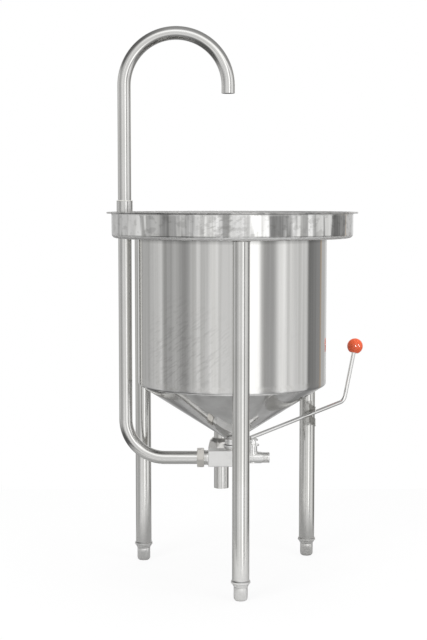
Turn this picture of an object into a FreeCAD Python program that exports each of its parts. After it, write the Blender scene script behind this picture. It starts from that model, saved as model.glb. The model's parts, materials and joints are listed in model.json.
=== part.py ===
import FreeCAD, Part
import math
import os

# Water-jet rice washer: an open barrel with a conical bottom stands on three legs inside
# a round overflow trough. Mains water enters at a cock, drives a jet through the mixing
# block under the cone and lifts rice and water up the riser and over the swan-neck spout.
# Millimetres. Origin on the floor under the barrel's axis, +Z up, +X towards the water
# inlet, -Y to the front.

# Sheet work
sheet = 1.5                 # sheet of the barrel, cone and trough
weld_gap = 0.2              # radial gap at a welded seat
barrel_r = 226.0            # outside radius of the barrel
tank_edge_z = 464.5         # height of the corner between barrel and cone
knuckle_r = 6.0            # outside radius of that corner
knuckle_rise = 3.0          # straight rim of the cone piece above its corner
cone_deg = 33.0             # slope of the cone from level
lip_drop = 14.0             # barrel lip below the trough rim
lip_hem_h = 8.0             # hem folded outwards at the barrel's lip
channel_w = 62.0            # from the barrel to the trough's wall
trough_floor_z = 814.0      # underside of the trough
trough_h = 61.5             # underside of the trough to the top of its rim
trough_corner_r = 10.0      # outside radius between the trough's floor and wall
corner_steps = 3            # facets of a small corner turned about the tank's axis
rim_w = 12.0                # how far the rim stands out of the trough's wall
rim_bead_r = 1.9            # rolled edge of the rim

# Legs and feet
leg_r = 19.5                # outside radius of a leg tube
tube_wall = 1.5             # wall of every bent or straight tube
leg_gap = 0.3               # between a leg and the barrel
leg_deg = {"front": 3.9, "right": 128.4, "left": -116.2}   # from the front, towards +X
foot_r = 16.0
foot_h = 31.5
foot_travel = 25.0          # how far a foot screws out
foot_corner_r = 7.0         # rounding of the sole
foot_gap = 0.3              # foot to bead collar when screwed right in
flat_from_axis = 14.1       # wrench flats on the foot
flat_z = (2.0, 16.0)
collar_h = 16.5             # collar at the end of a leg
collar_taper_h = 6.5        # its tapered lower part
bead_r = 22.4               # rolled bead round the collar
bead_half = 5.2
plug_len = 42.0             # insert inside the leg tube
plug_gap = 0.1              # insert to the leg tube
stud_r = 6.0
stud_gap = 0.05             # stud in its hole
stud_in_socket = 27.0       # stud left in its hole when the foot is screwed right out

# Riser and spout
pipe_r = 16.0               # outside radius of the riser and the spout
riser_bend_r = 95.0
spout_bend_r = 123.5
spout_rise = 298.0          # from the rim to the centre of the swan neck
spout_tip = 18.0            # straight end of the spout
sleeve_r = 19.25            # sleeve that carries the spout
sleeve_rise = 25.5          # sleeve above the rim
sleeve_foot_h = 4.0         # narrow foot of the sleeve, welded to the riser
spout_depth = 65.0          # spout inside the sleeve
bush_h = 12.0               # plastic bushes in the sleeve
bush_gap = 0.05             # bush in the sleeve
bush_flange = 2.0           # flange of the upper bush on top of the sleeve
turn_gap = 0.06             # running gap of the spout in its bushes
seal_h = 4.0                # ring between riser and spout
seat_gap = 0.3              # loose seat between pieces that turn

# Union at the end of the riser
nut_af = 43.0
nut_turn = 30.0             # a corner faces the viewer
nut_len = 17.0
nut_to_block = 9.9          # bare nipple between the nut and the block
nut_chamfer = 2.0
nut_lip = 3.0               # shoulder of the nut over the riser's collar
ferrule_r = 18.2
ferrule_len = 3.4
gasket_t = 2.0
nipple_r = 18.2             # threaded nipple in the nut
nipple_root_r = 15.0        # its thread into the block
nipple_root_len = 12.0
nipple_bore_r = 12.5
thread_gap = 0.2            # radial gap at threads, which are left plain

# Mixing block, jet and neck
block_left = 57.6           # from the barrel's axis to the block's left face
block_right = 22.0
block_side = 39.0
block_edge = 1.2            # chamfer of the block's edges
mixing_r = 12.5             # mixing chamber
jet_seat_len = 3.0
jet_flange_r = 12.0
jet_root_r = 9.8
jet_root_len = 6.0
jet_tip_r = 4.5
jet_reach = 30.0            # from the block's right face to the jet's tip
jet_bore_r = 6.0
jet_mouth_r = 2.6
neck_r = 13.5               # threaded outlet tube under the cone
neck_wall = 2.3
neck_flange_r = 16.5
neck_flange_h = 6.5         # edge of the flange, under the cone
lock_nut_r = 17.0
lock_nut_h = 7.5
cup_r = 21.0                # cup on top of the block
cup_foot_r = 15.6
cup_h = 12.5
cup_edge_h = 4.0
neck_depth = 9.0            # thread of the neck into the cup
neck_gasket_t = 1.2

# Cock and lever
stem_from_block = 28.0
body_r = 14.0               # valve body, level tube
body_len = 48.5
valve_neck_r = 11.2
valve_neck_fillet = 3.5     # cast corner between neck and body
bonnet_r = 16.0
bonnet_t = 3.0
bonnet_rise = 33.0          # from the pipe's axis to the top of the bonnet
cock_r = 7.6                # turning plug
cock_gap = 0.05
cock_below = 9.5            # plug below the pipe's axis
cock_above = 11.0
water_bore_r = 6.0
base_t = 3.0                # metal under the plug
base_r = 10.5
stem_r = 4.5
packing_h = 6.0
packing_nut_r = 8.6
packing_nut_h = 8.5
packing_nut_turn = 15.0
packing_nut_chamfer = 0.8
inlet_r = 13.2              # 3/4 inch hose thread
inlet_len = 20.5
inlet_root_r = 10.5
inlet_root_len = 9.0
inlet_bore_r = 8.5
hub_r = 13.2
hub_t = 3.0
hub_gap = 1.0               # hub above the packing nut
square_side = 6.4           # square end of the stem in the hub
rod_r = 5.0
rod_back = 8.0              # rod behind the stem's axis
rod_reach = 302.0           # level distance from the stem to the kink
rod_rise = 61.0             # rise over that distance
rod_deg = 37.8              # lever's direction in plan, from +X to +Y
kink_r = 22.0
grip_reach = 37.0           # level distance from the kink to the knob
grip_rise = 138.0
knob_r = 20.0
knob_flat = 3.0             # cut off the ball at the rod
knob_steps = 10             # facets of the ball from pole to pole
knob_depth = 22.0           # rod inside the knob
weld_bead_r = 2.2           # weld between rod and hub

# Lever guide on the right leg
guide_t = 2.0
guide_h = 49.0
guide_below = 28.5          # plate's lower edge below the lever's axis
guide_reach = 65.0          # from the leg's axis to the plate's free edge
guide_deg = -79.0           # direction in plan of the notched plate
guide_side = 2.7            # plate's offset from the leg's axis
guide_corner_r = 3.0
notch_above = 6.5           # notch above and below the lever's axis
notch_below = 9.0
notch_room = 2.0            # between the lever at rest and the end of the notch
saddle_h = 62.0
saddle_below = 33.0
saddle_deg = (-118.0, -62.0)
screw_r = 1.9
screw_head_r = 3.4
screw_head_h = 1.4
screw_deg = -88.0
screw_edge = 4.6            # screw's axis to the end of the saddle

# Overflow drain
drain_r = 19.3
drain_deg = -174.6          # from the front, towards +X
drain_joint_z = 262.0
drain_nut_af = 60.0
drain_nut_below = 26.0      # nut below and above the joint
drain_nut_above = 24.0
drain_nut_turn = 8.0
drain_nut_slope = 29.0      # how far down from its top it tapers
drain_nut_shoulder = 8.0    # steep part of that taper
drain_nut_top_r = 22.5
drain_collar_r = 22.6
drain_collar_h = 4.0
drain_thread_h = 22.0       # threaded end of the tail inside the nut
drain_gasket_t = 2.5
drain_tail_len = 109.0

# Worked out
trough_r = barrel_r + channel_w
channel_mid_r = barrel_r + channel_w / 2
rim_z = trough_floor_z + trough_h
lip_z = rim_z - lip_drop
cone_slope = math.tan(math.radians(cone_deg))
knuckle_turn = math.radians(90.0 - cone_deg)
barrel_foot_z = tank_edge_z + knuckle_r * math.tan(knuckle_turn / 2) + knuckle_rise
leg_circle_r = barrel_r + leg_gap + leg_r
socket_z = foot_h + foot_gap
riser_x = -channel_mid_r
sleeve_top_z = rim_z + sleeve_rise
spout_foot_z = sleeve_top_z - spout_depth
spout_bend_z = rim_z + spout_rise
neck_flange_z = tank_edge_z - (barrel_r - neck_flange_r) * cone_slope - weld_gap - neck_flange_h
lock_nut_z = neck_flange_z - lock_nut_h
cup_top_z = lock_nut_z - neck_gasket_t
block_top_z = cup_top_z - cup_h
pipe_axis_z = block_top_z - block_side / 2
block_x = (-block_left, block_right)
nut_left_x = -block_left - nut_to_block - nut_len
ferrule_x = nut_left_x + nut_lip
gasket_x = ferrule_x + ferrule_len
nipple_x = gasket_x + gasket_t
stem_x = block_right + stem_from_block
body_end_x = block_right + body_len
bonnet_top_z = pipe_axis_z + bonnet_rise
cock_z = pipe_axis_z - cock_below
packing_z = pipe_axis_z + cock_above + seat_gap
hub_z = bonnet_top_z + packing_nut_h + hub_gap
rod_z = hub_z + hub_t + rod_r
stud_len = foot_travel + stud_in_socket
drain_dir = math.radians(drain_deg)
drain_xy = (channel_mid_r * math.sin(drain_dir), -channel_mid_r * math.cos(drain_dir))

Z = FreeCAD.Vector(0, 0, 1)
X = FreeCAD.Vector(1, 0, 0)


def vec(x, y, z):
    return FreeCAD.Vector(x, y, z)


def cyl(radius, low, high, x=0.0, y=0.0):
    return Part.makeCylinder(radius, high - low, vec(x, y, low))


def ring(outer, inner, low, high, x=0.0, y=0.0):
    return cyl(outer, low, high, x, y).cut(cyl(inner, low - 1, high + 1, x, y))


def level_cyl(radius, start, end):
    """Cylinder along X on the pipe's axis."""
    return Part.makeCylinder(radius, end - start, vec(start, 0, pipe_axis_z), X)


def level_ring(outer, inner, start, end):
    return level_cyl(outer, start, end).cut(level_cyl(inner, start - 1, end + 1))


def revolve(points, x=0.0, y=0.0):
    """Closed outline of (radius, z) points turned about the upright axis at x, y."""
    outline = [vec(r, 0, z) for r, z in points]
    face = Part.Face(Part.makePolygon(outline + outline[:1]))
    solid = face.revolve(vec(0, 0, 0), Z, 360)
    solid.translate(vec(x, y, 0))
    return solid


def lay_level(solid, start):
    """Turn a solid built up the Z axis so that it runs along +X from start."""
    solid.rotate(vec(0, 0, 0), vec(0, 1, 0), 90)
    solid.translate(vec(start, 0, pipe_axis_z))
    return solid


def rounded(points, radii):
    """Edges through the points with an arc of the given radius at each inner point."""
    edges = []
    last = points[0]
    for before, corner, after, radius in zip(points, points[1:], points[2:], radii):
        to_corner = (corner - before).normalize()
        onward = (after - corner).normalize()
        half_turn = to_corner.getAngle(onward) / 2
        reach = radius * math.tan(half_turn)
        start = corner - to_corner * reach
        end = corner + onward * reach
        bisector = (onward - to_corner).normalize()
        middle = corner + bisector * (radius / math.cos(half_turn) - radius)
        edges.append(Part.makeLine(last, start))
        edges.append(Part.Arc(start, middle, end).toShape())
        last = end
    edges.append(Part.makeLine(last, points[-1]))
    return edges


def arc_points(centre_r, centre_z, radius, first_deg, last_deg, steps):
    """Points (r, z) of an arc; each becomes the edge of a narrow cone when turned."""
    points = []
    for i in range(steps + 1):
        angle = math.radians(first_deg + (last_deg - first_deg) * i / steps)
        points.append((centre_r + radius * math.cos(angle), centre_z + radius * math.sin(angle)))
    return points


def bead_ring(radius, ring_r, z):
    outline = arc_points(ring_r, z, radius, 0, 300, 5)
    return revolve(outline)


def tube(points, radii, outer, wall):
    """Bent tube whose first run starts square to its end."""
    path = Part.Wire(rounded(points, radii))
    start = (points[1] - points[0]).normalize()
    solids = []
    for radius in (outer, outer - wall):
        section = Part.Wire(Part.makeCircle(radius, points[0], start))
        solids.append(path.makePipeShell([section], True, False))
    return solids[0].cut(solids[1])


def bar(points, radii, radius):
    path = Part.Wire(rounded(points, radii))
    start = (points[1] - points[0]).normalize()
    section = Part.Wire(Part.makeCircle(radius, points[0], start))
    return path.makePipeShell([section], True, False)


def hexagon(across_flats, low, high, turn=0.0):
    corner_r = across_flats / math.sqrt(3)
    corners = []
    for i in range(6):
        angle = math.radians(60 * i + turn)
        corners.append(vec(corner_r * math.cos(angle), corner_r * math.sin(angle), low))
    return Part.Face(Part.makePolygon(corners + corners[:1])).extrude(vec(0, 0, high - low))


def chamfer_both(across_flats, low, high, drop):
    """Turned blank that takes the corners off both ends of a hexagon."""
    flat_r = across_flats / 2
    corner_r = across_flats / math.sqrt(3) + 0.5
    return revolve([(0, low), (flat_r, low), (corner_r, low + drop),
                    (corner_r, high - drop), (flat_r, high), (0, high)])


def leg_place(degrees):
    angle = math.radians(degrees)
    return leg_circle_r * math.sin(angle), -leg_circle_r * math.cos(angle)


def lever_point(along, z):
    """A point in the lever's upright plane, by its level distance from the stem."""
    angle = math.radians(rod_deg)
    return vec(stem_x + along * math.cos(angle), along * math.sin(angle), z)


def rod_height(along):
    return rod_z + rod_rise * along / rod_reach


# Tank

def make_barrel():
    wall = ring(barrel_r, barrel_r - sheet, barrel_foot_z, lip_z)
    hem = ring(barrel_r + sheet, barrel_r - sheet, lip_z - lip_hem_h, lip_z)
    return wall.fuse(hem).removeSplitter()


def cone_z(radius):
    return tank_edge_z - (barrel_r - radius) * cone_slope


def make_cone():
    """Cone of sheet with a rounded corner and a short upright rim under the barrel."""
    start_r = neck_r + weld_gap + sheet * math.sin(math.radians(cone_deg))
    rise = sheet / math.cos(math.radians(cone_deg))
    arc_r = barrel_r - knuckle_r
    arc_z = barrel_foot_z - knuckle_rise
    under = arc_points(arc_r, arc_z, knuckle_r, cone_deg - 90, 0, corner_steps)
    inside = arc_points(arc_r, arc_z, knuckle_r - sheet, cone_deg - 90, 0, corner_steps)
    outline = [(start_r, cone_z(start_r))] + under + [(barrel_r, barrel_foot_z)]
    outline += [(barrel_r - sheet, barrel_foot_z)] + inside[::-1]
    return revolve(outline + [(start_r, cone_z(start_r) + rise)])


def make_neck():
    """Threaded outlet tube with a flange that fits under the cone."""
    top_z = cone_z(neck_r) + sheet / math.cos(math.radians(cone_deg))
    foot_z = cup_top_z - neck_depth
    blank = revolve([(0, foot_z), (neck_r, foot_z), (neck_r, neck_flange_z),
                     (neck_flange_r, neck_flange_z), (neck_flange_r, cone_z(neck_flange_r) - weld_gap),
                     (neck_r, cone_z(neck_r) - weld_gap), (neck_r, top_z), (0, top_z)])
    return blank.cut(cyl(neck_r - neck_wall, foot_z - 1, top_z + 1))


def make_trough():
    """Ring-shaped pan with a rounded floor corner, a level rim and a rolled edge."""
    corner_r = trough_r - trough_corner_r
    corner_z = trough_floor_z + trough_corner_r
    under = arc_points(corner_r, corner_z, trough_corner_r, -90, 0, corner_steps)
    inside = arc_points(corner_r, corner_z, trough_corner_r - sheet, -90, 0, corner_steps)
    hole_r = barrel_r + weld_gap
    edge_r = trough_r + rim_w - rim_bead_r
    outline = [(hole_r, trough_floor_z)] + under
    outline += [(trough_r, rim_z - sheet), (edge_r, rim_z - sheet), (edge_r, rim_z)]
    outline += [(trough_r - sheet, rim_z)] + inside[::-1] + [(hole_r, trough_floor_z + sheet)]
    pan = revolve(outline).fuse(bead_ring(rim_bead_r, edge_r, rim_z - rim_bead_r)).removeSplitter()
    floor_top = trough_floor_z + sheet
    pan = pan.cut(cyl(sleeve_r + weld_gap, trough_floor_z - 1, floor_top + 1, riser_x))
    return pan.cut(cyl(drain_r + weld_gap, trough_floor_z - 1, floor_top + 1, *drain_xy))


# Legs and feet

def make_leg(degrees):
    x, y = leg_place(degrees)
    return ring(leg_r, leg_r - tube_wall, socket_z + collar_h, trough_floor_z, x, y)


def make_socket(degrees):
    """Insert with a bead collar: it fills the tube's end and takes the foot's stud."""
    x, y = leg_place(degrees)
    top = socket_z + collar_h
    plug_r = leg_r - tube_wall - plug_gap
    bulge_deg = math.degrees(math.acos((leg_r - bead_r + bead_half) / bead_half))
    bulge = arc_points(bead_r - bead_half, top - bead_half, bead_half, -bulge_deg, bulge_deg, corner_steps)
    outline = [(0, socket_z), (foot_r, socket_z), (leg_r, socket_z + collar_taper_h)] + bulge
    outline += [(leg_r, top), (plug_r, top), (plug_r, top + plug_len), (0, top + plug_len)]
    blank = revolve(outline)
    blank = blank.cut(cyl(stud_r + stud_gap, socket_z - 1, top + plug_len + 1))
    blank.translate(vec(x, y, 0))
    return blank


def make_foot(degrees):
    x, y = leg_place(degrees)
    sole = arc_points(foot_r - foot_corner_r, foot_corner_r, foot_corner_r, -90, 0, corner_steps)
    outline = [(0, 0)] + sole + [(foot_r, foot_h), (stud_r, foot_h)]
    foot = revolve(outline + [(stud_r, foot_h + stud_len), (0, foot_h + stud_len)])
    for side in (1, -1):
        flat = Part.makeBox(4 * foot_r, foot_r, flat_z[1] - flat_z[0])
        centre_y = flat_from_axis if side > 0 else -flat_from_axis - foot_r
        flat.translate(vec(-2 * foot_r, centre_y, flat_z[0]))
        foot = foot.cut(flat)
    foot.translate(vec(x, y, 0))
    return foot


# Riser and spout

def make_sleeve():
    """Tube through the trough's floor, narrowed at its foot where the riser is welded in."""
    foot_top = trough_floor_z + sleeve_foot_h
    sleeve = cyl(sleeve_r, trough_floor_z, sleeve_top_z, riser_x)
    sleeve = sleeve.cut(cyl(sleeve_r - tube_wall, foot_top, sleeve_top_z + 1, riser_x))
    return sleeve.cut(cyl(pipe_r + weld_gap, trough_floor_z - 1, foot_top + 1, riser_x))


def make_upper_bush():
    outer = sleeve_r - tube_wall - bush_gap
    bush = ring(outer, pipe_r + turn_gap, sleeve_top_z - bush_h, sleeve_top_z, riser_x)
    top = sleeve_top_z + bush_flange
    return bush.fuse(ring(sleeve_r, pipe_r + turn_gap, sleeve_top_z, top, riser_x)).removeSplitter()


def make_lower_bush():
    outer = sleeve_r - tube_wall - bush_gap
    low = spout_foot_z + seat_gap
    return ring(outer, pipe_r + turn_gap, low, low + bush_h, riser_x)


def make_seal():
    """Ring on the riser's end; the spout turns on it."""
    low = spout_foot_z - seat_gap - seal_h
    return ring(sleeve_r - tube_wall - bush_gap, pipe_r - tube_wall, low, low + seal_h, riser_x)


def make_riser():
    top = spout_foot_z - seat_gap - seal_h
    run = [vec(gasket_x, 0, pipe_axis_z), vec(riser_x, 0, pipe_axis_z), vec(riser_x, 0, top)]
    return tube(run, [riser_bend_r], pipe_r, tube_wall)


def make_spout():
    """Straight tube, half-circle swan neck and short straight tip."""
    top = spout_bend_z + spout_bend_r
    tip_x = riser_x + 2 * spout_bend_r
    riser_end = vec(riser_x, 0, spout_bend_z)
    tip_start = vec(tip_x, 0, spout_bend_z)
    crown = vec(riser_x + spout_bend_r, 0, top)
    path = Part.Wire([Part.makeLine(vec(riser_x, 0, spout_foot_z), riser_end),
                      Part.Arc(riser_end, crown, tip_start).toShape(),
                      Part.makeLine(tip_start, vec(tip_x, 0, spout_bend_z - spout_tip))])
    solids = []
    for radius in (pipe_r, pipe_r - tube_wall):
        section = Part.Wire(Part.makeCircle(radius, vec(riser_x, 0, spout_foot_z), Z))
        solids.append(path.makePipeShell([section], True, False))
    return solids[0].cut(solids[1])


# Union between riser and block

def make_union_nut():
    nut = hexagon(nut_af, 0, nut_len, nut_turn).common(chamfer_both(nut_af, 0, nut_len, nut_chamfer))
    nut = nut.cut(cyl(pipe_r + thread_gap, -1, nut_len + 1))
    nut = nut.cut(cyl(nipple_r + thread_gap, nut_lip, nut_len + 1))
    return lay_level(nut, nut_left_x)


def make_ferrule():
    return level_ring(ferrule_r, pipe_r + weld_gap, ferrule_x, gasket_x)


def make_union_gasket():
    return level_ring(ferrule_r, nipple_bore_r, gasket_x, nipple_x)


def make_nipple():
    outside = level_cyl(nipple_r, nipple_x, block_x[0])
    root = level_cyl(nipple_root_r, block_x[0] - 1, block_x[0] + nipple_root_len)
    bore = level_cyl(nipple_bore_r, nipple_x - 1, block_x[0] + nipple_root_len + 1)
    return outside.fuse(root).removeSplitter().cut(bore)


# Mixing block

def make_block():
    """Cast block: cup on top for the outlet neck, nipple on the left, jet on the right."""
    left, right = block_x
    low = pipe_axis_z - block_side / 2
    half = block_side / 2
    cast = Part.makeBox(right - left, block_side, block_side, vec(left, -half, low))
    cast = cast.makeChamfer(block_edge, cast.Edges)
    cup = revolve([(0, block_top_z - 2), (cup_foot_r, block_top_z - 2), (cup_foot_r, block_top_z),
                   (cup_r, cup_top_z - cup_edge_h), (cup_r, cup_top_z), (0, cup_top_z)])
    cast = cast.fuse(cup).removeSplitter()
    jet_seat_x = right - jet_seat_len
    root_x = left + nipple_root_len
    cast = cast.cut(level_cyl(nipple_root_r + thread_gap, left - 1, root_x))
    cast = cast.cut(level_cyl(mixing_r, root_x - 1, jet_seat_x - jet_root_len))
    cast = cast.cut(level_cyl(jet_root_r + thread_gap, jet_seat_x - jet_root_len - 1, right + 1))
    cast = cast.cut(level_cyl(jet_flange_r + thread_gap, jet_seat_x, right + 1))
    cast = cast.cut(cyl(neck_r + thread_gap, cup_top_z - neck_depth, cup_top_z + 1))
    return cast.cut(cyl(neck_r - neck_wall, pipe_axis_z, cup_top_z))


def make_jet():
    """Turned nozzle with its flange in the block's counterbore and a tapered tip."""
    blank = revolve([(0, 0), (jet_flange_r, 0), (jet_flange_r, jet_seat_len),
                     (jet_root_r, jet_seat_len), (jet_root_r, jet_seat_len + jet_root_len),
                     (jet_tip_r, jet_reach), (0, jet_reach)])
    bore = revolve([(0, -1), (jet_bore_r, -1), (jet_bore_r, jet_seat_len + jet_root_len),
                    (jet_mouth_r, jet_reach - 4), (jet_mouth_r, jet_reach + 1), (0, jet_reach + 1)])
    jet = blank.cut(bore)
    jet.rotate(vec(0, 0, 0), vec(0, 1, 0), -90)
    jet.translate(vec(block_x[1], 0, pipe_axis_z))
    return jet


def make_lock_nut():
    return ring(lock_nut_r, neck_r + thread_gap, lock_nut_z, neck_flange_z)


def make_neck_gasket():
    return ring(lock_nut_r, neck_r + thread_gap, cup_top_z, lock_nut_z)


# Cock

def make_valve_body():
    """Cast tee: level water way, upright neck and bonnet flange."""
    right = block_x[1]
    base_z = cock_z - seat_gap - base_t
    cast = level_cyl(body_r, right, body_end_x)
    cast = cast.fuse(cyl(valve_neck_r, pipe_axis_z, bonnet_top_z, stem_x)).removeSplitter()
    joins = [e for e in cast.Edges if e.BoundBox.ZMin > pipe_axis_z]
    corner = [e for e in joins if e.BoundBox.ZMax < pipe_axis_z + body_r + 1]
    cast = cast.makeFillet(valve_neck_fillet, corner)
    cast = cast.fuse(cyl(base_r, base_z, pipe_axis_z, stem_x))
    cast = cast.fuse(cyl(bonnet_r, bonnet_top_z - bonnet_t, bonnet_top_z, stem_x)).removeSplitter()
    cast = cast.cut(level_cyl(water_bore_r, right - 1, body_end_x + 1))
    root_x = body_end_x - inlet_root_len
    cast = cast.cut(level_cyl(inlet_root_r + thread_gap, root_x, body_end_x + 1))
    return cast.cut(cyl(cock_r + cock_gap, cock_z - seat_gap, bonnet_top_z + 1, stem_x))


def make_cock_plug():
    """Turning plug with its cross bore, stem and square end."""
    plug = cyl(cock_r, cock_z, pipe_axis_z + cock_above, stem_x)
    plug = plug.fuse(cyl(stem_r, pipe_axis_z, hub_z, stem_x)).removeSplitter()
    half = square_side / 2
    square = Part.makeBox(square_side, square_side, hub_t, vec(stem_x - half, -half, hub_z))
    plug = plug.fuse(square).removeSplitter()
    return plug.cut(level_cyl(water_bore_r, stem_x - 2 * cock_r, stem_x + 2 * cock_r))


def make_packing():
    return ring(cock_r, stem_r + cock_gap, packing_z, packing_z + packing_h, stem_x)


def make_packing_nut():
    top = bonnet_top_z + packing_nut_h
    nut = cyl(cock_r, packing_z + packing_h, bonnet_top_z)
    af = 2 * packing_nut_r * math.cos(math.radians(30))
    head = hexagon(af, bonnet_top_z, top, packing_nut_turn)
    head = head.common(chamfer_both(af, bonnet_top_z, top, packing_nut_chamfer))
    nut = nut.fuse(head).removeSplitter()
    nut = nut.cut(cyl(stem_r + cock_gap, packing_z, top + 1))
    nut.translate(vec(stem_x, 0, 0))
    return nut


def make_inlet():
    """Threaded inlet nipple for the water hose."""
    root_x = body_end_x - inlet_root_len
    outside = level_cyl(inlet_r, body_end_x, body_end_x + inlet_len)
    nipple = outside.fuse(level_cyl(inlet_root_r, root_x, body_end_x + 1)).removeSplitter()
    return nipple.cut(level_cyl(inlet_bore_r, root_x - 1, body_end_x + inlet_len + 1))


# Lever

def make_hub():
    disc = cyl(hub_r, hub_z, hub_z + hub_t, stem_x)
    side = square_side + 2 * cock_gap
    half = side / 2
    return disc.cut(Part.makeBox(side, side, 3 * hub_t, vec(stem_x - half, -half, hub_z - hub_t)))


def make_hub_weld():
    """Fillet weld that joins the rod to the hub, one run along each side of the rod."""
    runs = []
    angle = math.radians(rod_deg)
    for side in (1, -1):
        shift = vec(-math.sin(angle), math.cos(angle), 0) * side * (rod_r - 0.4)
        start = lever_point(-rod_back, hub_z + hub_t) + shift
        end = lever_point(rod_back, hub_z + hub_t) + shift
        run = Part.makeCylinder(weld_bead_r, start.distanceToPoint(end), start, end - start)
        above = Part.makeBox(8 * rod_r, 8 * rod_r, rod_r, vec(stem_x - 4 * rod_r, -4 * rod_r, hub_z + hub_t))
        runs.append(run.common(above).cut(make_rod()))
    return Part.Compound(runs)


def make_rod():
    """Round bar: long rising run, kink, steep run into the knob."""
    kink = lever_point(rod_reach, rod_height(rod_reach))
    centre = lever_point(rod_reach + grip_reach, rod_height(rod_reach) + grip_rise)
    up = (centre - kink).normalize()
    end = centre + up * (knob_depth - knob_r)
    start = lever_point(-rod_back, rod_height(-rod_back))
    rod = bar([start, kink, end], [kink_r], rod_r)
    table = Part.makeBox(8 * rod_r, 8 * rod_r, 4 * rod_r,
                         vec(stem_x - 4 * rod_r, -4 * rod_r, hub_z + hub_t - 4 * rod_r))
    return rod.cut(table)


def make_knob():
    kink = lever_point(rod_reach, rod_height(rod_reach))
    centre = lever_point(rod_reach + grip_reach, rod_height(rod_reach) + grip_rise)
    up = (centre - kink).normalize()
    cut_z = knob_flat - knob_r
    first_deg = math.degrees(math.asin(cut_z / knob_r))
    ball = revolve([(0, cut_z)] + arc_points(0, 0, knob_r, first_deg, 90, knob_steps))
    ball = ball.cut(cyl(rod_r + cock_gap, -2 * knob_r, knob_depth + seat_gap - knob_r))
    ball.Placement = FreeCAD.Placement(centre, FreeCAD.Rotation(Z, up))
    return ball


# Lever guide

def notch_place():
    """Where the lever's axis crosses the notched plate: along the plate, and on the lever."""
    x, y = leg_place(leg_deg["right"])
    plate = math.radians(guide_deg)
    lever = math.radians(rod_deg)
    side = guide_side + guide_t / 2
    dx = stem_x - (x - side * math.sin(plate))
    dy = -(y + side * math.cos(plate))
    spread = math.sin(lever - plate)
    along_plate = (math.sin(lever) * dx - math.cos(lever) * dy) / spread
    along_rod = (math.sin(plate) * dx - math.cos(plate) * dy) / spread
    return along_plate, along_rod


def at_guide(shape):
    """Move a shape from the leg's axis at the lever's height, X along the plate, to its place."""
    x, y = leg_place(leg_deg["right"])
    shape.rotate(vec(0, 0, 0), Z, guide_deg)
    shape.translate(vec(x, y, rod_height(notch_place()[1])))
    return shape


def make_guide():
    """Bent sheet: a saddle round the leg and a plate with a notch that holds the lever."""
    inner = leg_r + weld_gap
    outer = inner + guide_t
    plate = Part.makeBox(guide_reach, guide_t, guide_h, vec(0, guide_side, -guide_below))
    free = [e for e in plate.Edges if e.BoundBox.XMin > guide_reach - 0.01 and e.BoundBox.YLength > 1]
    plate = plate.makeFillet(guide_corner_r, free)
    crossing = math.radians(rod_deg - guide_deg)
    half_width = rod_r / math.sin(crossing) + guide_t / 2 / abs(math.tan(crossing))
    end_x = notch_place()[0] - half_width - notch_room
    notch_h = notch_above + notch_below
    slot = Part.makeBox(guide_reach, 3 * guide_t, notch_h, vec(end_x, guide_side - guide_t, -notch_below))
    closed = [e for e in slot.Edges if e.BoundBox.XMax < end_x + 0.01 and e.BoundBox.YLength > 1]
    slot = slot.makeFillet(notch_h / 2 - 0.3, closed)
    saddle = Part.makeCylinder(outer, saddle_h, vec(0, 0, -saddle_below), Z, saddle_deg[1] - saddle_deg[0])
    saddle.rotate(vec(0, 0, 0), Z, saddle_deg[0] - guide_deg)
    guide = plate.cut(slot).fuse(saddle)
    guide = guide.cut(cyl(inner, -saddle_below - 1, saddle_h)).removeSplitter()
    for hole in guide_screw_shapes(screw_r + weld_gap, 0):
        guide = guide.cut(hole)
    return at_guide(guide)


def guide_screw_shapes(shank_r, head_h):
    """The two screws of the saddle about the leg's axis; with no head, their holes."""
    angle = math.radians(screw_deg - guide_deg)
    outward = vec(math.cos(angle), math.sin(angle), 0)
    seat_r = leg_r + weld_gap + guide_t
    shapes = []
    for height in (screw_edge - saddle_below, saddle_h - saddle_below - screw_edge):
        start = outward * (leg_r + weld_gap / 2) + Z * height
        shank_len = guide_t + weld_gap / 2 if head_h > 0 else 2 * guide_t
        screw = Part.makeCylinder(shank_r, shank_len, start, outward)
        if head_h > 0:
            seat = outward * seat_r + Z * height
            head = Part.makeCylinder(screw_head_r, head_h, seat, outward)
            screw = screw.fuse(head).removeSplitter()
        shapes.append(screw)
    return shapes


def make_guide_screws():
    return at_guide(Part.Compound(guide_screw_shapes(screw_r, screw_head_h)))


# Overflow drain

def make_drain_pipe():
    low = drain_joint_z + drain_gasket_t
    top = trough_floor_z + sheet
    pipe = cyl(drain_r, low, top).fuse(cyl(drain_collar_r, low, low + drain_collar_h))
    pipe = pipe.removeSplitter().cut(cyl(drain_r - tube_wall, low - 1, top + 1))
    pipe.translate(vec(*drain_xy, 0))
    return pipe


def make_drain_tail():
    """Lower tube with the threaded end that the union nut screws on to."""
    low = drain_joint_z - drain_tail_len
    thread_low = drain_joint_z - drain_thread_h
    tail = cyl(drain_r, low, drain_joint_z).fuse(cyl(drain_collar_r, thread_low, drain_joint_z))
    tail = tail.removeSplitter().cut(cyl(drain_r - tube_wall, low - 1, drain_joint_z + 1))
    tail.translate(vec(*drain_xy, 0))
    return tail


def make_drain_gasket():
    top = drain_joint_z + drain_gasket_t
    return ring(drain_collar_r, drain_r - tube_wall, drain_joint_z, top, *drain_xy)


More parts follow.
